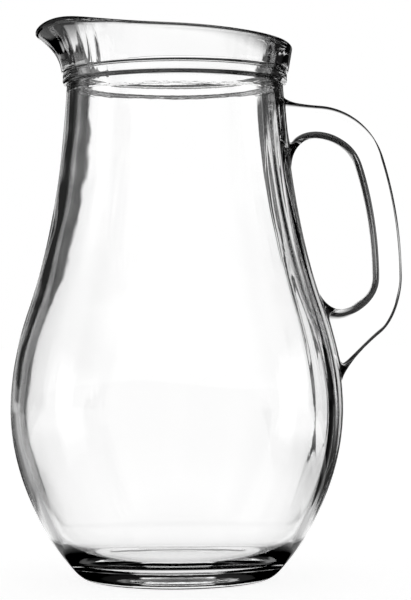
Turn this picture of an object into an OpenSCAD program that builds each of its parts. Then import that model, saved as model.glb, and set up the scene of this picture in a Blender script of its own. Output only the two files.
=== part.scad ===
// Clear glass beer pitcher: a blown vessel with a pouring lip and a fused glass handle.
// Millimetres. The vessel's axis is Z, the resting ring lies on z = 0, the handle points to +X
// and the pouring lip to -X.

/* [Base] */
// From the belly's radius in to the heel, where the rounded foot edge ends
heel_in = 26.6; // [24:0.1:29]
// Height where the rounded foot edge ends
heel_z = 3; // [2:0.1:4]
// Lean of the heel from upright, in degrees
heel_lean = 43; // [36:0.5:48]
// Reach of the foot's rounded edge, along the resting plane
foot_round = 1.4; // [0.6:0.1:4]
// Width of the flat resting ring
ring_w = 9.9; // [6:0.1:14]
// Depth of the hollow inside the resting ring
punt_h = 2.4; // [1:0.1:4]
// Height of the inside floor over the resting plane
floor_z = 9; // [7:0.1:11]
// Reach of the rounding between the inside wall and the flat floor, along the floor
floor_round = 7.6; // [6:0.1:14]

/* [Body] */
// Height of the seam between base and wall
bowl_z = 20; // [17:0.1:23]
// From the belly's radius in to that seam
bowl_in = 14.2; // [12:0.1:16]
// Lean of the wall from upright at that seam, in degrees
bowl_lean = 29.4; // [25:0.1:34]
// Wall at that seam, measured level
bowl_wall = 4.8; // [4:0.1:7]
// Height of the widest part of the belly
belly_z = 70.5; // [64:0.1:78]
// Outer diameter of the belly
belly_d = 139.4; // [130:0.1:150]
// Wall of the belly
belly_wall = 3.1; // [2.5:0.1:5]
// Height of the shoulder, where the wall leans in most
shoulder_z = 112; // [104:0.1:120]
// From the belly's radius in to the shoulder
shoulder_in = 7.6; // [6:0.1:10]
// Lean of the shoulder from upright, in degrees
shoulder_lean = 19.2; // [15:0.1:22]
// Wall at the shoulder, measured level
shoulder_wall = 3.9; // [3:0.1:6]
// Height of the slim part over the shoulder
waist_z = 165; // [155:0.1:175]
// From the belly's radius in to the slim part
waist_in = 20.2; // [18:0.1:22]
// Lean of the slim part from upright, in degrees
waist_lean = 8.7; // [6:0.1:11]
// Wall of the slim part, measured level
waist_wall = 4.6; // [3:0.1:6]
// Height of the top of the neck, under the collar
neck_z = 206; // [198:0.1:216]
// From the belly's radius in to the neck under the collar
neck_in = 24.2; // [23:0.1:26]
// Lean of the neck from upright, in degrees
neck_lean = 4.6; // [2:0.1:7]
// Wall of the neck, measured level
neck_wall = 4.7; // [3:0.1:6]

/* [Collar] */
// How far the collar ring stands out from the neck
collar_out = 1.7; // [1:0.1:3]
// Height of the collar ring
collar_h = 4.7; // [3:0.1:7]
// Rounding of the collar's lower edge
collar_edge = 1.6; // [0.4:0.1:2]

/* [Rim] */
// How far the foot of the rim band stands out from the collar
rim_step = 0.5; // [0.2:0.1:1]
// How far the rim band widens from its foot to its top, away from the lip
rim_flare = 1.7; // [1:0.1:3]
// Height of the rim band on the handle's side
rim_h = 11.7; // [10:0.1:15]
// How much higher the rim band is on the lip's side, before the lip is drawn up
rim_tilt = 5.2; // [0:0.1:7]
// Thickness of the rim band near its top
rim_wall = 4.2; // [3.5:0.1:5.5]
// How far the lip's tip reaches out past the rim
lip_reach = 8.2; // [5:0.1:11]
// How far the rim rises beside the lip
lip_rise = 5.2; // [3:0.1:8]
// How far the lip's tip hangs below its sides
lip_dip = 4.4; // [0:0.1:5]
// Half angle over which the lip is drawn out, in degrees
lip_spread = 29; // [20:1:36]
// Half angle over which the rim rises to the lip, in degrees
rise_spread = 86; // [60:1:100]
// Half angle of the dip at the tip, in degrees
dip_spread = 20; // [12:1:26]

/* [Handle] */
// From the collar down to the middle of the bar where it leaves the neck
handle_drop = 15.4; // [14:0.1:22]
// From the belly's widest radius out to the middle of the grip's lower end
grip_out = 19.2; // [16:0.1:26]
// Radius of the upper bend, at the middle of the bar
top_bend_r = 24.4; // [20:0.1:28]
// Part of the upper bend that the upper weld takes up, in degrees
weld_turn = 4; // [2:0.5:8]
// Length of the bowed grip, along its middle
grip_len = 48.9; // [40:0.1:56]
// Lean of the grip's upper end from upright, in degrees; its lower end is upright
grip_lean = 17; // [10:0.1:22]
// Radius of the lower bend, at the middle of the bar
low_bend_r = 22.9; // [18:0.1:26]
// Fall of the tail below level, in degrees
tail_fall = 39.3; // [32:0.1:46]
// Width of the bar, across the loop
bar_w = 17; // [13:0.1:21]
// Thickness of the bar at the neck
bar_top_t = 13.1; // [11:0.1:15]
// Thickness of the bar along the grip
bar_grip_t = 11.5; // [9:0.1:14]
// Thickness of the bar at the tail
bar_tail_t = 15.8; // [12:0.1:18]
// Fillet over the upper weld
upper_fillet_up = 3.1; // [2:0.1:5]
// Fillet under the upper weld
upper_fillet_down = 15.5; // [10:0.1:18]
// Fillet over the lower weld
lower_fillet_up = 16; // [10:0.1:18]
// Fillet under the lower weld
lower_fillet_down = 7.4; // [5:0.1:11]
// Fillet beside both welds
side_fillet = 0.8; // [0.4:0.1:3]
// Clearance between the weld pads and the curved wall
weld_gap = 0.04; // [0.02:0.01:0.08]

/* [Hidden] */
$fn = 96;

// Clear glass
glass = [0.90, 0.93, 0.93, 0.40];

// Handle length of a fillet curve, which makes it close to a circle
fillet_share = 0.55;
// How quickly the lip draws out towards its edge
lip_power_share = 2.5;
// How much of the rim band's taper is even; the rest comes on towards the top
rim_taper_share = 0.25;
// Rounding of the bar's outer and inner corners, in parts of its thickness
bar_outer_share = 0.26;
bar_inner_share = 0.28;
// Fullness of the weld pads' outline, 2 for an ellipse and more for a squarer one
pad_power_share = 2.6;
// Steps along each stretch of a curve
wall_steps = 8;
edge_steps = 5;
punt_steps = 5;
floor_steps = 7;
rim_steps = 9;
rim_round_steps = 6;
rim_turns = 96;
bend_steps = 9;
grip_steps = 4;
weld_steps = 7;
corner_steps = 4;
flat_steps = 6;
bar_sides = 4 * (corner_steps + flat_steps);
pad_rings = 4;
landing_steps = 30;

belly_r = belly_d / 2;
heel_r = belly_r - heel_in;
heel_corner = [heel_r - heel_z * tan(heel_lean), 0];
foot_r = heel_corner[0] - foot_round;
punt_r = foot_r - ring_w;
neck_r = belly_r - neck_in;
mouth_r = neck_r - neck_wall;
collar_r = neck_r + collar_out;
rim_foot_r = collar_r + rim_step;
rim_z = neck_z + collar_h;
handle_z = neck_z - handle_drop;

// Points of the vessel's outer curve: height, radius and change of radius with height
wall_knots = [
    [heel_z, heel_r, tan(heel_lean)],
    [bowl_z, belly_r - bowl_in, tan(bowl_lean)],
    [belly_z, belly_r, 0],
    [shoulder_z, belly_r - shoulder_in, -tan(shoulder_lean)],
    [waist_z, belly_r - waist_in, -tan(waist_lean)],
    [neck_z, neck_r, -tan(neck_lean)]
];
// Level thickness of the wall at the same heights, from the bowl up
thickness_knots = [
    [bowl_z, bowl_wall, 0],
    [belly_z, belly_wall, 0],
    [shoulder_z, shoulder_wall, 0],
    [waist_z, waist_wall, 0],
    [neck_z, neck_wall, 0]
];

// Smooth curve between two knots, at height z
function between(a, b, z) =
    let (l = b[0] - a[0], s = (z - a[0]) / l)
    a[1] * (1 + 2 * s) * pow(1 - s, 2) + b[1] * s * s * (3 - 2 * s)
    + l * (a[2] * s * pow(1 - s, 2) - b[2] * s * s * (1 - s));
// Value of a chain of knots at height z; the end stretches run on past the ends
function along(knots, z) =
    let (last = len(knots) - 2, i = max([0, for (k = [0:last]) if (z >= knots[k][0]) k]))
    between(knots[i], knots[i + 1], z);
function outer_r(z) = along(wall_knots, z);
function inner_r(z) = outer_r(z) - along(thickness_knots, z);

// Heights of the knots from index a to index b, each stretch divided alike
function heights(knots, a, b) = [
    for (k = [a:b - 1], i = [0:wall_steps - 1])
        knots[k][0] + (knots[k + 1][0] - knots[k][0]) * i / wall_steps,
    knots[b][0]
];
function mix(a, b, s) = a + (b - a) * s;
function reversed(list) = [for (i = [len(list) - 1:-1:0]) list[i]];

// Point at s on a fillet from p to q, with its corner at c
function fillet(p, c, q, s) =
    let (p1 = p + fillet_share * (c - p), q1 = q + fillet_share * (c - q), t = 1 - s)
    t * t * t * p + 3 * t * t * s * p1 + 3 * t * s * s * q1 + s * s * s * q;

// Faces of a tube of rings with n points each; the first and the last point are the middles of its
// two ends, which are closed by fans
function tube_faces(rings, n) =
    let (last = rings * n + 1)
    concat(
        [for (i = [0:n - 1]) [0, 1 + (i + 1) % n, 1 + i]],
        [for (j = [0:rings - 2], i = [0:n - 1], h = [0, 1])
            let (a = 1 + j * n + i, b = 1 + j * n + (i + 1) % n)
            h == 0 ? [a, b, a + n] : [b, b + n, a + n]],
        [for (i = [0:n - 1]) [last, last - n + i, last - n + (i + 1) % n]]
    );

// Base: floor, punt, resting ring and heel
floor_top = [inner_r(bowl_z), bowl_z];
floor_corner = [floor_top[0] - (bowl_z - floor_z) * tan(bowl_lean), floor_z];
floor_edge = floor_corner - [floor_round, 0];
module base() {
    color(glass)
    rotate_extrude()
    polygon(concat(
        [for (i = [0:punt_steps]) let (s = i / punt_steps) [punt_r * s, punt_h * (1 - s * s)]],
        [for (i = [0:edge_steps]) fillet([foot_r, 0], heel_corner, [heel_r, heel_z], i / edge_steps)],
        [for (i = [1:wall_steps])
            let (z = heel_z + (bowl_z - heel_z) * i / wall_steps) [outer_r(z), z]],
        [for (i = [0:floor_steps]) fillet(floor_top, floor_corner, floor_edge, i / floor_steps)],
        [[0, floor_z]]
    ));
}

// Body wall: belly, shoulder and neck
module body_wall() {
    levels = heights(wall_knots, 1, len(wall_knots) - 1);
    color(glass)
    rotate_extrude()
    polygon(concat(
        [for (z = levels) [outer_r(z), z]],
        [for (z = reversed(levels)) [inner_r(z), z]]
    ));
}

// Collar ring, with a rounded lower edge
module collar_ring() {
    color(glass)
    rotate_extrude()
    polygon(concat(
        [[mouth_r, neck_z]],
        [for (i = [0:edge_steps])
            let (a = 90 * i / edge_steps)
            [collar_r - collar_edge * (1 - sin(a)), neck_z + collar_edge * (1 - cos(a))]],
        [[collar_r, rim_z], [mouth_r, rim_z]]
    ));
}

// Rim band: angle a is measured from the middle of the lip, and s runs from foot to top
function lip_at(a) = exp(-pow(a / lip_spread, 2));
function rise_at(a) = abs(a) < rise_spread ? (1 + cos(180 * a / rise_spread)) / 2 : 0;
function dip_at(a) = exp(-pow(a / dip_spread, 2));
rim_round = rim_wall / 2;
function rim_top(a) =
    rim_h + rim_tilt * (1 + cos(a)) / 2 + lip_rise * rise_at(a) - lip_dip * dip_at(a) - rim_round;
function rim_out(a, s) =
    [rim_foot_r + rim_flare * s + lip_reach * lip_at(a) * pow(s, lip_power_share), rim_top(a) * s];
// Lean of the band at its top, from upright
function rim_lean(a) = atan2(rim_flare + lip_reach * lip_at(a) * lip_power_share, rim_top(a));
function rim_in(a, s) =
    let (taper = mix(s * s, s, rim_taper_share), t = mix(rim_foot_r - mouth_r, rim_wall, taper),
         b = rim_lean(a) * s)
    rim_out(a, s) + t * [-cos(b), sin(b)];
function rim_section(a) =
    let (p = rim_out(a, 1), q = rim_in(a, 1), m = (p + q) / 2, b = rim_lean(a))
    concat(
        [for (i = [0:rim_steps]) rim_out(a, i / rim_steps)],
        [for (i = [1:rim_round_steps - 1])
            let (e = 180 * i / rim_round_steps)
            m + rim_round * [cos(e) * cos(b) + sin(e) * sin(b), sin(e) * cos(b) - cos(e) * sin(b)]],
        [for (i = [rim_steps:-1:0]) rim_in(a, i / rim_steps)]
    );
module rim_band() {
    sections = [for (j = [0:rim_turns - 1])
        let (turn = 360 * j / rim_turns)
        [for (p = rim_section(turn - 180)) [p[0] * cos(turn), p[0] * sin(turn), rim_z + p[1]]]];
    n = len(sections[0]);
    color(glass)
    polyhedron(
        [for (section = sections, p = section) p],
        [for (j = [0:rim_turns - 1], i = [0:n - 1], h = [0, 1])
            let (k = (j + 1) % rim_turns, m = (i + 1) % n, a = j * n + i, b = j * n + m,
                 c = k * n + m, d = k * n + i)
            h == 0 ? [a, b, c] : [a, c, d]]
    );
}

// Handle: the middle line of the bar lies in the plane y = 0, and each place on it is
// [x, z, heading in degrees, thickness of the bar]
grip_r = grip_len / grip_lean * 180 / PI;
grip_head_z = handle_z - top_bend_r * (1 - sin(grip_lean));
grip_centre = [belly_r + grip_out - grip_r, grip_head_z - grip_r * sin(grip_lean)];
bend_x = grip_centre[0] + (grip_r - top_bend_r) * cos(grip_lean);
low_centre = [belly_r + grip_out - low_bend_r, grip_centre[1]];
tail_heading = tail_fall - 180;
function early_ease(s) = s * s * (3 - 2 * s);
function late_ease(s) = s * s * s * (4 - 3 * s);
// Place on an arc of radius r about centre c, where the bar heads along h
function arc_place(c, r, h, t) = [c[0] - r * sin(h), c[1] + r * cos(h), h, t];
handle_places = concat(
    [for (i = [0:bend_steps])
        let (s = i / bend_steps)
        arc_place([bend_x, handle_z - top_bend_r], top_bend_r, mix(-weld_turn, grip_lean - 90, s),
                  mix(bar_top_t, bar_grip_t, early_ease(s)))],
    [for (i = [1:grip_steps])
        let (s = i / grip_steps)
        arc_place(grip_centre, grip_r, mix(grip_lean - 90, -90, s), bar_grip_t)],
    [for (i = [1:bend_steps])
        let (s = i / bend_steps)
        arc_place(low_centre, low_bend_r, mix(-90, tail_heading, s),
                  mix(bar_grip_t, bar_tail_t, late_ease(s)))]
);

// Flat-sided cross-section of the bar, corner after corner: offset away from the loop, then offset
// along y; corners 0 and 3 are the outer ones
function is_outer(k) = k == 0 || k == 3;
function corner_point(k, f, t) =
    let (r = t * (is_outer(k) ? bar_outer_share : bar_inner_share),
         away = is_outer(k) ? 1 : -1, hand = k < 2 ? 1 : -1)
    [away * (t / 2 - r) + r * cos(90 * k + f), hand * (bar_w / 2 - r) + r * sin(90 * k + f)];
function bar_section(t) = [
    for (k = [0:3], p = concat(
        [for (i = [0:corner_steps]) corner_point(k, 90 * i / corner_steps, t)],
        [for (i = [1:flat_steps - 1])
            mix(corner_point(k, 90, t), corner_point((k + 1) % 4, 0, t), i / flat_steps)]
    )) p
];
function bar_ring(place) = [
    for (o = bar_section(place[3]))
        [place[0] - o[0] * sin(place[2]), o[1], place[1] + o[0] * cos(place[2])]
];
function bar_middle(place) = [place[0], 0, place[1]];
last_place = handle_places[len(handle_places) - 1];

module handle_bar() {
    points = [for (place = handle_places, p = bar_ring(place)) p];
    color(glass)
    polyhedron(
        concat([bar_middle(handle_places[0])], points, [bar_middle(last_place)]),
        tube_faces(len(handle_places), bar_sides)
    );
}

// Where a line from p along d meets the wall, found by halving between distances near and far
function meets(p, d, near, far, n) =
    let (m = (near + far) / 2, q = p + m * d)
    n == 0 ? q
    : norm([q[0], q[1]]) > outer_r(q[2]) + weld_gap ? meets(p, d, m, far, n - 1)
    : meets(p, d, near, m, n - 1);
function on_wall(y, z) = [sqrt(pow(outer_r(z) + weld_gap, 2) - y * y), y, z];

// Weld at one end of the bar: place is the end of the bar, d runs along it to the wall
function pad_curve(v) = sign(v) * pow(abs(v), 2 / pad_power_share);
module weld(place, d, up, down) {
    ends = bar_ring(place);
    corners = [for (p = ends) meets(p, d, 0, p[0], landing_steps)];
    middle_z = meets(bar_middle(place), d, 0, place[0], landing_steps)[2];
    high = max([for (c = corners) c[2]]) - middle_z;
    low = middle_z - min([for (c = corners) c[2]]);
    feet = [for (c = corners)
        let (rise = c[2] - middle_z, half = rise > 0 ? high : low, more = rise > 0 ? up : down,
             f = atan2(rise / half, c[1] / (bar_w / 2)))
        on_wall((bar_w / 2 + side_fillet) * pad_curve(cos(f)),
                middle_z + (half + more) * pad_curve(sin(f)))];
    pad = [for (k = [1:pad_rings])
        let (s = k / pad_rings)
        [for (p = feet) on_wall(p[1] * s, mix(middle_z, p[2], s))]];
    sides = [for (k = [1:weld_steps])
        let (s = k / weld_steps)
        [for (i = [0:bar_sides - 1]) fillet(feet[i], corners[i], ends[i], s)]];
    rings = concat(pad, sides);
    points = [for (ring = rings, p = ring) p];
    faces = tube_faces(len(rings), bar_sides);
    // The bar's ring runs the other way round at its first end
    flip = d[0] * cos(place[2]) > 0;
    color(glass)
    polyhedron(
        concat([on_wall(0, middle_z)], points, [bar_middle(place)]),
        flip ? [for (face = faces) reversed(face)] : faces
    );
}
module handle_upper_weld() {
    weld(handle_places[0], [-cos(weld_turn), 0, sin(weld_turn)], upper_fillet_up, upper_fillet_down);
}
module handle_lower_weld() {
    weld(last_place, [cos(tail_heading), 0, sin(tail_heading)], lower_fillet_up, lower_fillet_down);
}

base();
body_wall();
collar_ring();
rim_band();
handle_bar();
handle_upper_weld();
handle_lower_weld();
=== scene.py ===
import math

import bpy
import numpy as np
from mathutils import Matrix, Vector


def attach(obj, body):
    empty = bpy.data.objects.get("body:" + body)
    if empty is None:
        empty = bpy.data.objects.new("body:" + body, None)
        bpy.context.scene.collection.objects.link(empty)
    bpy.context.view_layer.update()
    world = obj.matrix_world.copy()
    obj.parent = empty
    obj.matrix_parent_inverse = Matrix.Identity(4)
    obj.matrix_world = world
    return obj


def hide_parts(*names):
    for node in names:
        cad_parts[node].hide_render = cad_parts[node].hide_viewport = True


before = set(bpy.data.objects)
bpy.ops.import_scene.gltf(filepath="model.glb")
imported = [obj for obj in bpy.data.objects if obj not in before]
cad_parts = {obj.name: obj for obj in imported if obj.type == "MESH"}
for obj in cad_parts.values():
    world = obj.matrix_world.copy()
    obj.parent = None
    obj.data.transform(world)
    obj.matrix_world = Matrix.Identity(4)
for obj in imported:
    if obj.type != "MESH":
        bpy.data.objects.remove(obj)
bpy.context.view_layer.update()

# Sizes of the pitcher in millimetres and degrees, as in the part's source
MM = 0.001
BELLY_R, BELLY_Z, BELLY_WALL = 69.7, 70.5, 3.1
HEEL_R, HEEL_Z, HEEL_LEAN = BELLY_R - 26.6, 3.0, 43.0
FOOT_ROUND, RING_W, PUNT_H = 1.4, 9.9, 2.4
FLOOR_Z, FLOOR_ROUND = 9.0, 7.6
BOWL_R, BOWL_Z, BOWL_LEAN, BOWL_WALL = BELLY_R - 14.2, 20.0, 29.4, 4.8
SHOULDER_R, SHOULDER_Z, SHOULDER_LEAN, SHOULDER_WALL = BELLY_R - 7.6, 112.0, 19.2, 3.9
WAIST_R, WAIST_Z, WAIST_LEAN, WAIST_WALL = BELLY_R - 20.2, 165.0, 8.7, 4.6
NECK_R, NECK_Z, NECK_LEAN, NECK_WALL = BELLY_R - 24.2, 206.0, 4.6, 4.7
COLLAR_R, COLLAR_H, COLLAR_EDGE = NECK_R + 1.7, 4.7, 1.6
RIM_FOOT_R, RIM_FLARE, RIM_WALL, TAPER_SHARE = COLLAR_R + 0.5, 1.7, 4.2, 0.25
RIM_H, RIM_TILT = 11.7, 5.2
LIP_REACH, LIP_RISE, LIP_DIP = 8.2, 5.2, 4.4
LIP_SPREAD, RISE_SPREAD, DIP_SPREAD, LIP_POWER = 29.0, 86.0, 20.0, 2.5
HANDLE_DROP, GRIP_OUT, TOP_BEND_R, WELD_TURN = 15.4, 19.2, 24.4, 4.0
GRIP_LEN, GRIP_LEAN, LOW_BEND_R, TAIL_FALL = 48.9, 17.0, 22.9, 39.3
BAR_W, BAR_TOP_T, BAR_GRIP_T, BAR_TAIL_T = 17.0, 13.1, 11.5, 15.8
UPPER_FILLETS = (3.1, 15.5)
LOWER_FILLETS = (16.0, 7.4)
SIDE_FILLET, FOOT_POWER, FILLET = 0.8, 2.6, 0.55
MOUTH_R = NECK_R - NECK_WALL
RIM_Z = NECK_Z + COLLAR_H

# Bar's corner shares and crowns; the part's source has larger inner corners and flat faces
BAR_OUTER_SHARE, BAR_INNER_SHARE = 0.26, 0.11
BAR_OUTER_CROWN, BAR_INNER_CROWN = 0.3, 1.0

# Soft corners under the collar and in the groove above it, in millimetres and degrees
UNDER_COLLAR, UNDER_REACH, UNDER_RISE, UNDER_TURN = 0.9, 0.6, 0.06, 26
GROOVE_LOW, GROOVE_MID, GROOVE_HIGH, GROOVE_DEEP = RIM_Z - 0.9, RIM_Z - 0.2, RIM_Z + 0.6, 0.5

# Unevenness inside: streaks and waves as height, waves per turn, lean and start
STREAKS = (
    (0.2, 14, 2.1, 0), (0.15, 23, -1.2, 70), (0.1, 37, 0.9, 20), (0.06, 52, -1.6, 130), (0.04, 71, 2.9, 0))
STREAK_SPREAD, STRONG_SHARE, STRONG_Z, STRONG_SPREAD = 33, 0.9, 98, 26
WAVES = ((0.05, 3, 4.1, 0), (0.04, 5, -9.3, 60), (0.02, 2, 21, 0))
STREAK_FADE_H, WAVE_FADE_Z, WAVE_FADE_H, NECK_FADE_H = 40, 40, 50, 30
MARK_Z, MARK_TILT, MARK_H, MARK_WIDTH = 203.6, 1.4, 0.1, 0.3
MARK_WANDER = ((0.12, 7, 0, 40), (0.1, 23, 0, 0))
MARK_TOP, MARK_FOOT = NECK_Z + 1.0, 199.0
RIM_STREAKS = ((0.05, 31, 40, 0), (0.04, 47, -70, 0), (0.035, 63, 0, 0))
RIM_STREAK_TURN, RIM_HANDLE_TURN, RIM_STREAK_SPREAD = 45, 150, 30
RIM_PLAIN_SHARE, RIM_HANDLE_SHARE = 0.15, 0.1

# Fineness of the skin: rows at set heights, and counts of steps
NECK_END_ROWS, COLLAR_ROWS, MOUTH_ROWS = (204.5, 204.9), (208.4, 209.0, 209.6), (209.5, 208.2)
NEAR_AXIS, RING_INSET_IN, RING_INSET_OUT, RIM_START = 0.06, 0.5, 0.3, 0.06
TURNS = 300
UPPER_PATCH, LOWER_PATCH = (168.0, 204.0), (76.0, 124.0)
PATCH_ROWS, PATCH_HALF, PATCH_RINGS = 28, 18, 8
RIM_STEPS, RIM_ROUND_STEPS = 14, 12
BEND_STEPS, GRIP_STEPS, WELD_STEPS = 30, 16, 18
OUTER_STEPS, INNER_STEPS, FLAT_STEPS = (8, 20), (6, 24), 6


def tan(deg):
    return math.tan(math.radians(deg))


def sin(deg):
    return math.sin(math.radians(deg))


def cos(deg):
    return math.cos(math.radians(deg))


def mix(a, b, s):
    return a + (b - a) * s


def clamp(x):
    return min(max(x, 0), 1)


def ease(s):
    return s * s * (3 - 2 * s)


def bell(x, spread):
    return math.exp(-(x / spread) ** 2)


def uneven(table, turn, along_it=0):
    return sum(h * sin(n * turn + lean * along_it + start) for h, n, lean, start in table)


# Vessel's outer curve and level wall: height, value and slope
WALL_KNOTS = (
    (HEEL_Z, HEEL_R, tan(HEEL_LEAN)),
    (BOWL_Z, BOWL_R, tan(BOWL_LEAN)),
    (BELLY_Z, BELLY_R, 0.0),
    (SHOULDER_Z, SHOULDER_R, -tan(SHOULDER_LEAN)),
    (WAIST_Z, WAIST_R, -tan(WAIST_LEAN)),
    (NECK_Z, NECK_R, -tan(NECK_LEAN)),
)
THICK_KNOTS = (
    (BOWL_Z, BOWL_WALL, 0),
    (BELLY_Z, BELLY_WALL, 0),
    (SHOULDER_Z, SHOULDER_WALL, 0),
    (WAIST_Z, WAIST_WALL, 0),
    (NECK_Z, NECK_WALL, 0),
)


def along(knots, z):
    i = max([0] + [k for k in range(len(knots) - 1) if z >= knots[k][0]])
    (za, va, ta), (zb, vb, tb) = knots[i], knots[i + 1]
    length = zb - za
    s = (z - za) / length
    return (va * (1 + 2 * s) * (1 - s) ** 2 + vb * s * s * (3 - 2 * s)
            + length * (ta * s * (1 - s) ** 2 - tb * s * s * (1 - s)))


def outer_r(z):
    return along(WALL_KNOTS, z)


def inner_r(z):
    return outer_r(z) - along(THICK_KNOTS, z)


def fillet(p, c, q, s):
    p, c, q = np.asarray(p, float), np.asarray(c, float), np.asarray(q, float)
    p1, q1, t = p + FILLET * (c - p), q + FILLET * (c - q), 1 - s
    return t ** 3 * p + 3 * t * t * s * p1 + 3 * t * s * s * q1 + s ** 3 * q


def steps(a, b, n):
    return [mix(a, b, i / n) for i in range(n + 1)]


# Rim band at angle a from the middle of the lip; s runs from its foot to its top
def rim_top(a):
    lift = LIP_RISE * (1 + cos(180 * a / RISE_SPREAD)) / 2 if abs(a) < RISE_SPREAD else 0
    dip = LIP_DIP * bell(a, DIP_SPREAD)
    return RIM_H + RIM_TILT * (1 + cos(a)) / 2 + lift - dip - RIM_WALL / 2


def rim_reach(a):
    return LIP_REACH * bell(a, LIP_SPREAD)


def rim_out(a, s):
    return np.array([RIM_FOOT_R + RIM_FLARE * s + rim_reach(a) * s ** LIP_POWER, rim_top(a) * s])


def rim_lean(a):
    return math.atan2(RIM_FLARE + rim_reach(a) * LIP_POWER, rim_top(a))


def rim_in(a, s):
    taper = mix(s * s, s, TAPER_SHARE)
    t, b = mix(RIM_FOOT_R - MOUTH_R, RIM_WALL, taper), rim_lean(a) * s
    return rim_out(a, s) + t * np.array([-math.cos(b), math.sin(b)])


def rim_streaks(a, s):
    """Fine upright unevenness of the band's inside, strongest beside the lip."""
    at_lip = bell(abs(a) - RIM_STREAK_TURN, RIM_STREAK_SPREAD)
    at_handle = RIM_HANDLE_SHARE * bell(abs(a) - RIM_HANDLE_TURN, RIM_STREAK_SPREAD)
    return (RIM_PLAIN_SHARE + at_lip + at_handle) * sin(180 * s) * uneven(RIM_STREAKS, a, s)


def rim_section(a):
    n, n_round = RIM_STEPS, RIM_ROUND_STEPS
    b = rim_lean(a)
    m = (rim_out(a, 1) + rim_in(a, 1)) / 2
    out = [rim_out(a, mix(RIM_START, 1, i / n)) for i in range(n + 1)]
    for i in range(1, n_round):
        e = math.pi * i / n_round
        out.append(m + RIM_WALL / 2 * np.array([
            math.cos(e) * math.cos(b) + math.sin(e) * math.sin(b),
            math.sin(e) * math.cos(b) - math.cos(e) * math.sin(b)]))
    out += [rim_in(a, s) + (rim_streaks(a, s), 0) for s in steps(1, 0, n)]
    return [(p[0], RIM_Z + p[1]) for p in out]


# Rows of the outer wall: the welds' patches span whole rows and columns
def outer_rows():
    z = steps(BOWL_Z, LOWER_PATCH[0], 34) + steps(*LOWER_PATCH, PATCH_ROWS)[1:]
    z += steps(LOWER_PATCH[1], UPPER_PATCH[0], 28)[1:] + steps(*UPPER_PATCH, PATCH_ROWS)[1:]
    return z


def base_profile():
    """Underside and heel, from beside the axis out and up to the bowl."""
    corner = (HEEL_R - HEEL_Z * tan(HEEL_LEAN), 0)
    foot_r = corner[0] - FOOT_ROUND
    punt_r = foot_r - RING_W
    pts = [(punt_r * s, PUNT_H * (1 - s * s)) for s in steps(NEAR_AXIS, 0.99, 16)]
    pts += [(r, 0.0) for r in steps(punt_r + RING_INSET_IN, foot_r - RING_INSET_OUT, 5)]
    pts += [tuple(fillet((foot_r, 0), corner, (HEEL_R, HEEL_Z), i / 8)) for i in range(9)]
    pts += [(outer_r(z), z) for z in steps(HEEL_Z, BOWL_Z, 12)[1:-1]]
    return pts


def collar_profile():
    """From the neck's top row, under and up the collar, to the foot of the rim band."""
    edge, foot_z = COLLAR_EDGE, NECK_Z - UNDER_COLLAR
    under = (NECK_R + UNDER_REACH, NECK_Z + UNDER_RISE)
    deep = COLLAR_R - GROOVE_DEEP
    pts = [(outer_r(z), z) for z in NECK_END_ROWS]
    pts += [tuple(fillet((outer_r(foot_z), foot_z), (NECK_R, NECK_Z), under, i / 6)) for i in range(7)]
    pts += [(COLLAR_R - edge * (1 - sin(a)), NECK_Z + edge * (1 - cos(a))) for a in steps(UNDER_TURN, 90, 7)]
    pts += [(COLLAR_R, z) for z in COLLAR_ROWS]
    pts += [(mix(COLLAR_R, deep, ease(s)), mix(GROOVE_LOW, GROOVE_MID, s)) for s in steps(0, 1, 6)]
    pts += [(mix(deep, RIM_FOOT_R, ease(s)), mix(GROOVE_MID, GROOVE_HIGH, s)) for s in steps(0, 1, 7)[1:]]
    return pts


def ripple(turn, z):
    """Unevenness of the inside: tool mark at the neck, streaks beside the handle, slow waves."""
    near = turn if turn <= 180 else turn - 360
    mark_z = MARK_Z + MARK_TILT * sin(turn) + uneven(MARK_WANDER, turn)
    height = MARK_H * (1 + 0.5 * sin(31 * turn + 20) * sin(13 * turn) + 0.4 * sin(67 * turn))
    mark = height * bell(z - mark_z, MARK_WIDTH)
    strong = 1 + STRONG_SHARE * bell(z - STRONG_Z, STRONG_SPREAD)
    streaks = strong * bell(near, STREAK_SPREAD) * uneven(STREAKS, near, z)
    low_streak = clamp((z - BOWL_Z) / STREAK_FADE_H)
    low_wave = clamp((z - WAVE_FADE_Z) / WAVE_FADE_H)
    neck_end = clamp((NECK_Z - z) / NECK_FADE_H)
    return mark + neck_end * (low_streak * streaks + low_wave * uneven(WAVES, turn, z))


def inside_profile():
    """From the foot of the rim band down the inside to the floor, ending beside the axis."""
    pts = [(MOUTH_R, z) for z in MOUTH_ROWS] + [(MOUTH_R, z) for z in steps(MARK_TOP, NECK_Z, 6)[:-1]]
    pts += [(inner_r(z), z) for z in steps(NECK_Z, MARK_FOOT, 46) + steps(MARK_FOOT, BOWL_Z, 120)[1:]]
    top = (inner_r(BOWL_Z), BOWL_Z)
    corner = (top[0] - (BOWL_Z - FLOOR_Z) * tan(BOWL_LEAN), FLOOR_Z)
    edge = (corner[0] - FLOOR_ROUND, FLOOR_Z)
    pts += [tuple(fillet(top, corner, edge, i / 16)) for i in range(1, 17)]
    pts += [(edge[0] * s, FLOOR_Z) for s in steps(0.95, NEAR_AXIS, 12)]
    return pts


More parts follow.
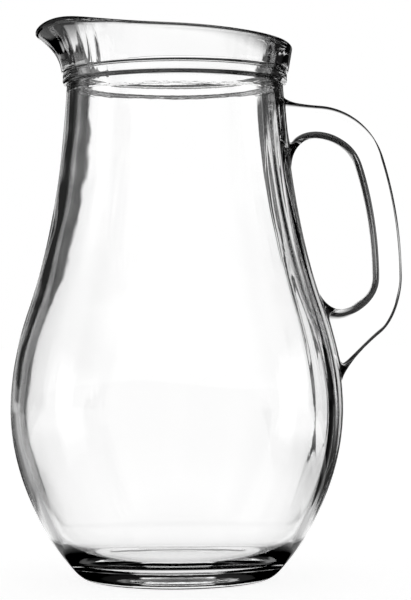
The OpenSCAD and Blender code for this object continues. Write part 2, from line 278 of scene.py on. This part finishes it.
# Handle: places along the middle of the bar as x, z, heading and thickness
def handle_places():
    grip_r = math.degrees(GRIP_LEN / GRIP_LEAN)
    handle_z = NECK_Z - HANDLE_DROP
    head_z = handle_z - TOP_BEND_R * (1 - sin(GRIP_LEAN))
    centre = (BELLY_R + GRIP_OUT - grip_r, head_z - grip_r * sin(GRIP_LEAN))
    bend_x = centre[0] + (grip_r - TOP_BEND_R) * cos(GRIP_LEAN)
    low = (BELLY_R + GRIP_OUT - LOW_BEND_R, centre[1])

    def arc(c, r, heading, t):
        return (c[0] - r * sin(heading), c[1] + r * cos(heading), heading, t)

    def late(s):
        return s ** 3 * (4 - 3 * s)

    places = [arc((bend_x, handle_z - TOP_BEND_R), TOP_BEND_R, mix(-WELD_TURN, GRIP_LEAN - 90, s),
                  mix(BAR_TOP_T, BAR_GRIP_T, ease(s))) for s in steps(0, 1, BEND_STEPS)]
    places += [arc(centre, grip_r, mix(GRIP_LEAN - 90, -90, s), BAR_GRIP_T)
               for s in steps(0, 1, GRIP_STEPS)[1:]]
    places += [arc(low, LOW_BEND_R, mix(-90, TAIL_FALL - 180, s),
                   mix(BAR_GRIP_T, BAR_TAIL_T, late(s))) for s in steps(0, 1, BEND_STEPS)[1:]]
    return places


def bar_section(t):
    """Flat-sided section: offsets away from the loop and along Y, from the middle of the outer face."""
    a, b = t / 2, BAR_W / 2

    def side(r, swell, crown, n_face, n_corner):
        """Half of a crowned face and its rounded corner, from the middle of the face to the flat side."""
        lean = math.degrees(math.atan(2 * crown / (b - r)))
        edge = b - r * (1 - sin(lean))
        shares = [sin(90 * i / n_face) for i in range(n_face)]
        face = [(a + swell - crown * s * s, edge * s) for s in shares]
        c = (a + swell - crown - r * cos(lean), b - r)
        return face + [(c[0] + r * cos(f), c[1] + r * sin(f)) for f in steps(lean, 90, n_corner)]

    corner_r = BAR_INNER_SHARE * t ** 3 / BAR_GRIP_T ** 2
    outer = side(BAR_OUTER_SHARE * t, 0, BAR_OUTER_CROWN, *OUTER_STEPS)
    inner = [(-o, y) for o, y in side(corner_r, BAR_INNER_CROWN / 2, BAR_INNER_CROWN, *INNER_STEPS)]
    shares = [(1 - cos(180 * i / FLAT_STEPS)) / 2 for i in range(1, FLAT_STEPS)]
    flat = [(mix(outer[-1][0], inner[-1][0], s), b) for s in shares]
    half = outer + flat + inner[:0:-1]
    return half + [inner[0]] + [(o, -y) for o, y in reversed(half[1:])]


def bar_ring(place):
    x, z, heading, t = place
    return [np.array([x - o * sin(heading), y, z + o * cos(heading)]) for o, y in bar_section(t)]


def meets(p, d):
    near, far = 0.0, p[0]
    for _ in range(40):
        m = (near + far) / 2
        q = p + m * d
        near, far = (m, far) if math.hypot(q[0], q[1]) > outer_r(q[2]) else (near, m)
    return p + (near + far) / 2 * d


def on_wall(y, z):
    r = outer_r(z)
    return np.array([math.sqrt(r * r - y * y), y, z])


def weld_rings(place, d, fillets, n):
    """Rings from the foot on the wall to the bar's end."""
    ends = bar_ring(place)
    d = np.array(d)
    corners = [meets(p, d) for p in ends]
    middle = meets(np.array([place[0], 0, place[1]]), d)[2]
    up, down = max(c[2] for c in corners) - middle, middle - min(c[2] for c in corners)
    feet = []
    for c in corners:
        dz = c[2] - middle
        half, more = (up, fillets[0]) if dz > 0 else (down, fillets[1])
        u = math.atan2(dz / half, c[1] / (BAR_W / 2))
        y, z = (math.copysign(abs(v) ** (2 / FOOT_POWER), v) for v in (math.cos(u), math.sin(u)))
        feet.append(on_wall((BAR_W / 2 + SIDE_FILLET) * y, middle + (half + more) * z))
    return [[fillet(f, c, e, i / n) for f, c, e in zip(feet, corners, ends)] for i in range(n)]


def wall_normal(turn, z):
    slope = (outer_r(z + 0.01) - outer_r(z - 0.01)) / 0.02
    length = math.hypot(1, slope)
    return (cos(turn) / length, sin(turn) / length, -slope / length)


class Skin:
    """Closed skin of the pitcher, gathered as points, faces and the wall's own normals."""

    def __init__(self):
        self.points, self.faces, self.normals = [], [], {}

    def bridge(self, a, b):
        n = len(a)
        self.faces += [(a[i], a[(i + 1) % n], b[(i + 1) % n], b[i]) for i in range(n)]

    def add_ring(self, last, pts, turned):
        start = len(self.points)
        self.points += [tuple(p) for p in pts]
        ring = list(range(start, len(self.points)))
        self.bridge(*((ring, last) if turned else (last, ring)))
        return ring


def patch_keys(rows, start_high):
    """Column and row of the grid's points around a patch, from the middle of one level side towards +Y."""
    low, high = rows
    first, last = (high, low) if start_high else (low, high)
    step = -1 if start_high else 1
    half = PATCH_HALF
    quarter = [(j, first) for j in range(half + 1)] + [(half, i) for i in range(first + step, last, step)]
    quarter += [(j, last) for j in range(half, 0, -1)]
    return quarter + [(0, last)] + [(-j, i) for j, i in reversed(quarter[1:])]


def build_skin():
    skin = Skin()
    base, rows, collar, inside = base_profile(), outer_rows(), collar_profile(), inside_profile()
    first_row = len(base)
    spans = []
    for patch in (UPPER_PATCH, LOWER_PATCH):
        lo, hi = (first_row + min(range(len(rows)), key=lambda i: abs(rows[i] - z)) for z in patch)
        spans.append((lo, hi))

    def near(j):
        return j if j <= TURNS // 2 else j - TURNS

    grid = {}
    for j in range(TURNS):
        turn = 360 * j / TURNS
        column = base + [(outer_r(z), z) for z in rows] + collar + rim_section(turn - 180)
        column += inside
        inside_from = len(column) - len(inside)
        for i, (r, z) in enumerate(column):
            if i >= inside_from and BOWL_Z < z < MARK_TOP:
                r += ripple(turn, z)
            if any(lo < i < hi and abs(near(j)) < PATCH_HALF for lo, hi in spans):
                continue
            grid[(j, i)] = len(skin.points)
            skin.points.append((r * cos(turn), r * sin(turn), z))
            if first_row <= i < first_row + len(rows):
                skin.normals[grid[(j, i)]] = wall_normal(turn, z)
    last = len(column) - 1
    under, floor = len(skin.points), len(skin.points) + 1
    skin.points += [(0, 0, PUNT_H), (0, 0, FLOOR_Z)]
    for j in range(TURNS):
        k = (j + 1) % TURNS
        skin.faces.append((under, grid[(k, 0)], grid[(j, 0)]))
        skin.faces.append((floor, grid[(j, last)], grid[(k, last)]))
        for i in range(last):
            if not any(lo <= i < hi and -PATCH_HALF <= near(j) < PATCH_HALF for lo, hi in spans):
                skin.faces.append((grid[(j, i)], grid[(k, i)], grid[(k, i + 1)], grid[(j, i + 1)]))

    # Each patch runs from the grid's edge in to the foot of a weld, and the weld on to the bar's end
    places = handle_places()
    ends = (
        (places[0], (-cos(WELD_TURN), 0, sin(WELD_TURN)), UPPER_FILLETS),
        (places[-1], (cos(TAIL_FALL - 180), 0, sin(TAIL_FALL - 180)), LOWER_FILLETS),
    )
    tubes = []
    for span, high, (place, d, fillets) in zip(spans, (True, False), ends):
        keys = patch_keys(span, high)
        ring = [grid[(j % TURNS, i)] for j, i in keys]
        weld = weld_rings(place, d, fillets, WELD_STEPS)
        feet = [(math.degrees(math.atan2(p[1], p[0])), p[2]) for p in weld[0]]
        for k in range(1, PATCH_RINGS + 1):
            s = k / PATCH_RINGS
            spots = [(mix(360 * j / TURNS, t, s), mix(rows[i - first_row], z, s))
                     for (j, i), (t, z) in zip(keys, feet)]
            pts = [(outer_r(z) * cos(t), outer_r(z) * sin(t), z) for t, z in spots]
            ring = skin.add_ring(ring, pts, high)
            skin.normals.update({v: wall_normal(t, z) for v, (t, z) in zip(ring, spots)})
        for pts in weld[1:]:
            ring = skin.add_ring(ring, pts, high)
        tubes.append(ring)
    ring = tubes[0]
    for place in places:
        ring = skin.add_ring(ring, bar_ring(place), True)
    skin.bridge(tubes[1], ring)
    return skin


def make_glass():
    mat = bpy.data.materials.new("clear_glass")
    mat.use_nodes = True
    nodes, links = mat.node_tree.nodes, mat.node_tree.links
    bsdf = nodes["Principled BSDF"]
    bsdf.inputs["Base Color"].default_value = (1, 1, 1, 1)
    bsdf.inputs["Roughness"].default_value = 0.0
    bsdf.inputs["IOR"].default_value = 1.52
    bsdf.inputs["Transmission Weight"].default_value = 1.0
    coord = nodes.new("ShaderNodeTexCoord")
    noise = nodes.new("ShaderNodeTexNoise")
    noise.inputs["Scale"].default_value = 420
    noise.inputs["Detail"].default_value = 2
    links.new(coord.outputs["Object"], noise.inputs["Vector"])
    bump = nodes.new("ShaderNodeBump")
    bump.inputs["Strength"].default_value = 0.004
    bump.inputs["Distance"].default_value = 0.001
    links.new(noise.outputs["Fac"], bump.inputs["Height"])
    links.new(bump.outputs["Normal"], bsdf.inputs["Normal"])
    return mat


def make_pitcher():
    skin = build_skin()
    mesh = bpy.data.meshes.new("pitcher_glass")
    mesh.from_pydata([(x * MM, y * MM, z * MM) for x, y, z in skin.points], [], skin.faces)
    mesh.validate()
    mesh.update()
    mesh.shade_smooth()
    normals = [skin.normals.get(i, (0, 0, 0)) for i in range(len(skin.points))]
    mesh.normals_split_custom_set_from_vertices(normals)
    piece = bpy.data.objects.new("pitcher_glass", mesh)
    bpy.context.scene.collection.objects.link(piece)
    mesh.materials.append(make_glass())
    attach(piece, "root")
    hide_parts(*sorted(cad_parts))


def node_maker(tree):
    """Short ways to add math nodes and ramps to a node tree."""
    nodes, links = tree.nodes, tree.links

    def calc(op, *values):
        node = nodes.new("ShaderNodeMath")
        node.operation = op
        for k, v in enumerate(values):
            if isinstance(v, (int, float)):
                node.inputs[k].default_value = v
            else:
                links.new(v, node.inputs[k])
        return node.outputs[0]

    def ramp(value, stops):
        """Piecewise straight function of a value, given as (place, level) stops."""
        node = nodes.new("ShaderNodeFloatCurve")
        links.new(calc("DIVIDE", value, stops[-1][0]), node.inputs["Value"])
        curve = node.mapping.curves[0]
        node.mapping.use_clip = False
        while len(curve.points) < len(stops):
            curve.points.new(0.5, 0.5)
        for point, (place, level) in zip(curve.points, stops):
            point.location = (place / stops[-1][0], level)
            point.handle_type = "VECTOR"
        node.mapping.update()
        return node.outputs[0]

    return nodes, links, calc, ramp


# Studio as the glass shows it. Turns are in degrees from straight behind the pitcher, levels of 1 are white.
# The sky's levels are the world's light; the floor's levels are painted light and painted shade on the floor,
# seen only in the glass
DEG = math.pi / 180
FLOOR_R, FLOOR_DROP, FLOOR_GREY, FLOOR_GLOW = 6.0, 0.0002, 0.8, 0.82
SOFT_LIGHT = 0.25
HALF_WIDTH = 0.065
# Painted shade on the floor's right side: its painted table glow there is RIGHT_SHARE of the left's;
# BACK_LEVEL is the painted glow on the floor's near side, its edge leaning by BACK_SLOPE
LEFT_MORE, RIGHT_SHARE = 0.85, 0.15
BACK_SLOPE, BACK_LEVEL = 0.6, 0.6
WINDOW = ((0, 1.08), (12.6, 1.08), (13.7, 0.0), (180, 0.0))
LOW_SKY = (
    (0, 0.08), (16, 0.08), (19, 0.2), (21, 0.5), (24, 0.5), (26.5, 0.03), (44, 0.02), (52, 0.25), (180, 0.25))
HIGH_SKY = (
    (0, 0.02), (49, 0.02), (54, 0.25), (76, 0.25), (80, 0.6), (100, 0.6), (104, 0.25), (112, 0.25),
    (125, 0.6), (180, 0.6))
# Painted light and painted shade on the floor by turn, near the pitcher and far off; FAR_TABLE also sets the
# world's band at the horizon
NEAR_TABLE = (
    (0, 0.06), (18, 0.06), (24, 0.1), (28, 0.2), (32, 0.5), (44, 0.5), (50, 0.3), (56, 0.08), (95, 0.06),
    (106, 0.6), (180, 0.6))
FAR_TABLE = (
    (0, 0.06), (18, 0.06), (22, 0.45), (30, 0.58), (38, 0.45), (45, 0.15), (60, 0.05), (95, 0.1), (106, 0.6),
    (180, 0.6))

# Painted glow of the floor near the pitcher, seen only in the glass: radius in metres and level; the dark
# ring from 36 to 58 mm is a painted contact shadow around the foot
UNDER_GLOW_AND_SHADOW = (
    (0, 0.95), (0.035, 0.95), (0.0362, 0.0), (0.058, 0.0), (0.063, 0.4), (0.07, 0.35), (0.085, 0.6),
    (0.1, 0.5), (0.112, 0.42), (0.125, 0.25), (0.135, 0.13), (0.2, 0.13))
NEAR_END, FAR_END, DROP_END = 0.2, 2, 0.3


def through_glass(path, calc):
    """1 for rays that the glass reflects or lets through, else 0."""
    return calc("MAXIMUM", path.outputs["Is Glossy Ray"], path.outputs["Is Transmission Ray"])


def painted_table_light(x, y, right, reach, grazing, calc, ramp):
    """Painted light and shade on the floor away from the pitcher, seen only in the glass: bright painted
    strips behind it and at its sides, and painted shade on the table between.
    """
    side, depth = (calc("MAXIMUM", calc("SUBTRACT", v, HALF_WIDTH), 0) for v in (x, calc("ABSOLUTE", y)))
    turn = calc("DIVIDE", calc("ARCTAN2", side, y), DEG)
    across = calc("DIVIDE", calc("ARCTAN2", depth, x), DEG)
    # Painted light: the bright strips show only where the floor is seen at a grazing angle
    window = calc("MULTIPLY", calc("MAXIMUM", ramp(turn, WINDOW), ramp(across, WINDOW)),
                  ramp(grazing, ((0, 0), (0.7, 0), (0.83, 0.97), (1, 0.97))))
    far = ramp(calc("MINIMUM", reach, FAR_END), ((0, 0), (1.1, 0), (1.7, 1), (FAR_END, 1)))
    table = calc("ADD", calc("MULTIPLY", ramp(turn, FAR_TABLE), far),
                 calc("MULTIPLY", ramp(turn, NEAR_TABLE), calc("SUBTRACT", 1, far)))
    drop = calc("MINIMUM", calc("MULTIPLY", reach, calc("SUBTRACT", 1, grazing)), DROP_END)
    table = calc("MULTIPLY", table, ramp(drop, ((0, 1), (0.1, 1), (0.15, 0), (DROP_END, 0))))
    # Painted shade on the right side: the table's painted glow there keeps RIGHT_SHARE
    left = calc("LESS_THAN", right, 0)
    table = calc("MULTIPLY", table, calc("MULTIPLY_ADD", left, LEFT_MORE, RIGHT_SHARE))
    # Painted light on the near side, and on the lip's side at steep angles
    back = calc("GREATER_THAN", 0, calc("ADD", y, calc("MULTIPLY", right, BACK_SLOPE)))
    lip_side = calc("MULTIPLY", left, ramp(turn, ((0, 0), (25, 0), (32, 1), (90, 1), (180, 1))))
    steep = ramp(grazing, ((0, 0), (0.46, 0), (0.5, 0.7), (0.64, 0.7), (0.7, 0), (1, 0)))
    painted_pale_glow = calc("MAXIMUM", calc("MULTIPLY", back, BACK_LEVEL), calc("MULTIPLY", lip_side, steep))
    return calc("MAXIMUM", calc("MAXIMUM", window, table), painted_pale_glow)


def painted_light_and_shadow_under(y, reach, nearby, grazing, calc, ramp):
    """Painted light and shade on the floor under and around the pitcher, seen only in the glass: a painted
    contact shadow ring at the foot, bright beyond it, before it and seen from above.
    """
    ahead = calc("MAXIMUM", calc("DIVIDE", y, reach), 0)
    wide = calc("MULTIPLY", ramp(ahead, ((0, 0), (0.2, 0), (0.5, 1), (1, 1))),
                ramp(nearby, ((0, 1), (0.06, 1), (0.064, 0), (NEAR_END, 0))))
    middle = calc("MULTIPLY", ramp(ahead, ((0, 0), (0.42, 0), (0.58, 1), (1, 1))),
                  ramp(nearby, ((0, 1), (0.12, 1), (0.14, 0), (NEAR_END, 0))))
    narrow = ramp(ahead, ((0, 0), (0.75, 0), (0.85, 1), (1, 1)))
    forward = calc("MAXIMUM", calc("MAXIMUM", wide, middle), narrow)
    strength = ramp(nearby, ((0, 0.95), (0.05, 0.96), (0.09, 1.05), (NEAR_END, 1.05)))
    forward = calc("MULTIPLY", forward, strength)
    rear = calc("MAXIMUM", calc("DIVIDE", calc("SUBTRACT", 0, y), reach), 0)
    behind = ramp(rear, ((0, 0), (0.1, 0), (0.4, 0.85), (1, 0.85)))
    overhead = calc("MAXIMUM", behind, ramp(grazing, ((0, 0.85), (0.56, 0.85), (0.62, 0), (1, 0))))
    around = calc("MULTIPLY", overhead, ramp(nearby, ((0, 0), (0.06, 0), (0.064, 1), (NEAR_END, 1))))
    return calc("MAXIMUM", calc("MAXIMUM", ramp(nearby, UNDER_GLOW_AND_SHADOW), forward), around)


def make_floor():
    mesh = bpy.data.meshes.new("floor")
    n = 96
    edge = [(FLOOR_R * cos(360 * i / n), FLOOR_R * sin(360 * i / n), -FLOOR_DROP) for i in range(n)]
    mesh.from_pydata(edge, [], [tuple(range(n))])
    floor = bpy.data.objects.new("floor", mesh)
    bpy.context.scene.collection.objects.link(floor)
    mat = bpy.data.materials.new("pale_floor_with_painted_light")
    mat.use_nodes = True
    nodes, links, calc, ramp = node_maker(mat.node_tree)
    nodes.clear()
    out = nodes.new("ShaderNodeOutputMaterial")
    path = nodes.new("ShaderNodeLightPath")
    place = nodes.new("ShaderNodeNewGeometry")
    axes = nodes.new("ShaderNodeSeparateXYZ")
    links.new(place.outputs["Position"], axes.inputs[0])
    right, y = axes.outputs["X"], axes.outputs["Y"]
    x = calc("ABSOLUTE", right)
    reach = calc("SQRT", calc("ADD", calc("MULTIPLY", x, x), calc("MULTIPLY", y, y)))
    nearby = calc("MINIMUM", reach, NEAR_END)
    facing = nodes.new("ShaderNodeLayerWeight")
    facing.inputs["Blend"].default_value = 0.5
    grazing = facing.outputs["Facing"]
    # Glow seen only by glossy and transmission rays: painted light and painted shade on the floor, with a
    # painted contact shadow around the foot; other rays get the diffuse floor, with an even glow for camera
    # rays
    table = painted_table_light(x, y, right, reach, grazing, calc, ramp)
    under = painted_light_and_shadow_under(y, reach, nearby, grazing, calc, ramp)
    close = ramp(nearby, ((0, 1), (0.11, 1), (0.18, 0), (NEAR_END, 0)))
    level = calc("ADD", calc("MULTIPLY", under, close), calc("MULTIPLY", table, calc("SUBTRACT", 1, close)))
    painted_light_glow = nodes.new("ShaderNodeEmission")
    links.new(level, painted_light_glow.inputs["Strength"])
    diffuse = nodes.new("ShaderNodeBsdfDiffuse")
    diffuse.inputs["Color"].default_value = (FLOOR_GREY, FLOOR_GREY, FLOOR_GREY, 1)
    glow = nodes.new("ShaderNodeEmission")
    links.new(calc("MULTIPLY", path.outputs["Is Camera Ray"], FLOOR_GLOW), glow.inputs["Strength"])
    add = nodes.new("ShaderNodeAddShader")
    links.new(diffuse.outputs[0], add.inputs[0])
    links.new(glow.outputs[0], add.inputs[1])
    mix_shader = nodes.new("ShaderNodeMixShader")
    links.new(through_glass(path, calc), mix_shader.inputs[0])
    links.new(add.outputs[0], mix_shader.inputs[1])
    links.new(painted_light_glow.outputs[0], mix_shader.inputs[2])
    links.new(mix_shader.outputs[0], out.inputs["Surface"])
    mesh.materials.append(mat)


def sky_level(axes, calc, ramp):
    """World as the glass shows it: bright panels behind and at the sides, low and high bands between them."""
    right = axes.outputs["X"]
    turn = calc("DIVIDE", calc("ARCTAN2", calc("ABSOLUTE", right), axes.outputs["Y"]), DEG)
    height = calc("MAXIMUM", calc("DIVIDE", calc("ARCSINE", axes.outputs["Z"]), DEG), 0)
    across = calc("ABSOLUTE", calc("SUBTRACT", turn, 90))
    narrow = ramp(height, ((0, 0), (3.5, 0), (5.2, 2.3), (6, 2.1), (7.4, 0), (90, 0)))
    window = calc("MAXIMUM", ramp(calc("ADD", turn, narrow), WINDOW), ramp(across, WINDOW))
    window = calc("MULTIPLY", window, ramp(height, ((0, 1), (15, 1), (19, 0), (90, 0))))
    low = calc("MULTIPLY", ramp(turn, LOW_SKY), ramp(height, ((0, 1), (6, 1), (8.5, 0), (90, 0))))
    horizon = calc("MULTIPLY", calc("MULTIPLY", calc("LESS_THAN", right, 0), ramp(turn, FAR_TABLE)),
                   ramp(height, ((0, 1), (0.3, 1), (1.3, 0), (90, 0))))
    high = calc("MULTIPLY", ramp(turn, HIGH_SKY), ramp(height, ((0, 1), (45, 1), (60, 0), (90, 0))))
    dim = calc("SUBTRACT", 1, calc("MULTIPLY", calc("GREATER_THAN", right, 0),
                                   ramp(turn, ((0, 0.6), (90, 0.6), (120, 0), (180, 0)))))
    sides = calc("MULTIPLY", calc("MAXIMUM", calc("MAXIMUM", low, horizon), high), dim)
    return calc("MAXIMUM", window, sides)


def make_world():
    world = bpy.data.worlds.new("studio")
    bpy.context.scene.world = world
    world.use_nodes = True
    nodes, links, calc, ramp = node_maker(world.node_tree)
    nodes.clear()
    out = nodes.new("ShaderNodeOutputWorld")
    path = nodes.new("ShaderNodeLightPath")
    coord = nodes.new("ShaderNodeTexCoord")
    axes = nodes.new("ShaderNodeSeparateXYZ")
    links.new(coord.outputs["Generated"], axes.inputs[0])
    panels, soft, plain = (nodes.new("ShaderNodeBackground") for _ in range(3))
    for background in (panels, soft, plain):
        background.inputs["Color"].default_value = (1, 1, 1, 1)
    links.new(sky_level(axes, calc, ramp), panels.inputs["Strength"])
    soft.inputs["Strength"].default_value = SOFT_LIGHT
    glass = nodes.new("ShaderNodeMixShader")
    links.new(through_glass(path, calc), glass.inputs[0])
    links.new(soft.outputs[0], glass.inputs[1])
    links.new(panels.outputs[0], glass.inputs[2])
    both = nodes.new("ShaderNodeMixShader")
    links.new(path.outputs["Is Camera Ray"], both.inputs[0])
    links.new(glass.outputs[0], both.inputs[1])
    links.new(plain.outputs[0], both.inputs[2])
    links.new(both.outputs[0], out.inputs["Surface"])


CAMERA_AT = (0, -0.7765, 0.1084)


def make_camera():
    """Camera fitted to the photograph's frame of 411 by 600 pixels."""
    focal, width, height = 1846.4, 411, 600
    axis_px, horizon_px, roll = 176.37, 317.6, 0.0065
    data = bpy.data.cameras.new("camera")
    data.sensor_width = 36.0
    data.lens = focal / height * data.sensor_width
    data.clip_start, data.clip_end = 0.01, 50
    cam = bpy.data.objects.new("camera", data)
    bpy.context.scene.collection.objects.link(cam)
    yaw = math.atan2(width / 2 - axis_px, focal)
    pitch = math.atan2(horizon_px - height / 2, focal)
    turn = Matrix.Rotation(-yaw, 4, "Z") @ Matrix.Rotation(math.pi / 2 + pitch, 4, "X")
    turn = turn @ Matrix.Rotation(-roll, 4, "Z")
    cam.matrix_world = Matrix.Translation(Vector(CAMERA_AT)) @ turn
    bpy.context.scene.camera = cam


make_pitcher()
make_floor()
make_world()
make_camera()
bpy.context.scene.view_settings.view_transform = "Standard"
bpy.context.view_layer.update()
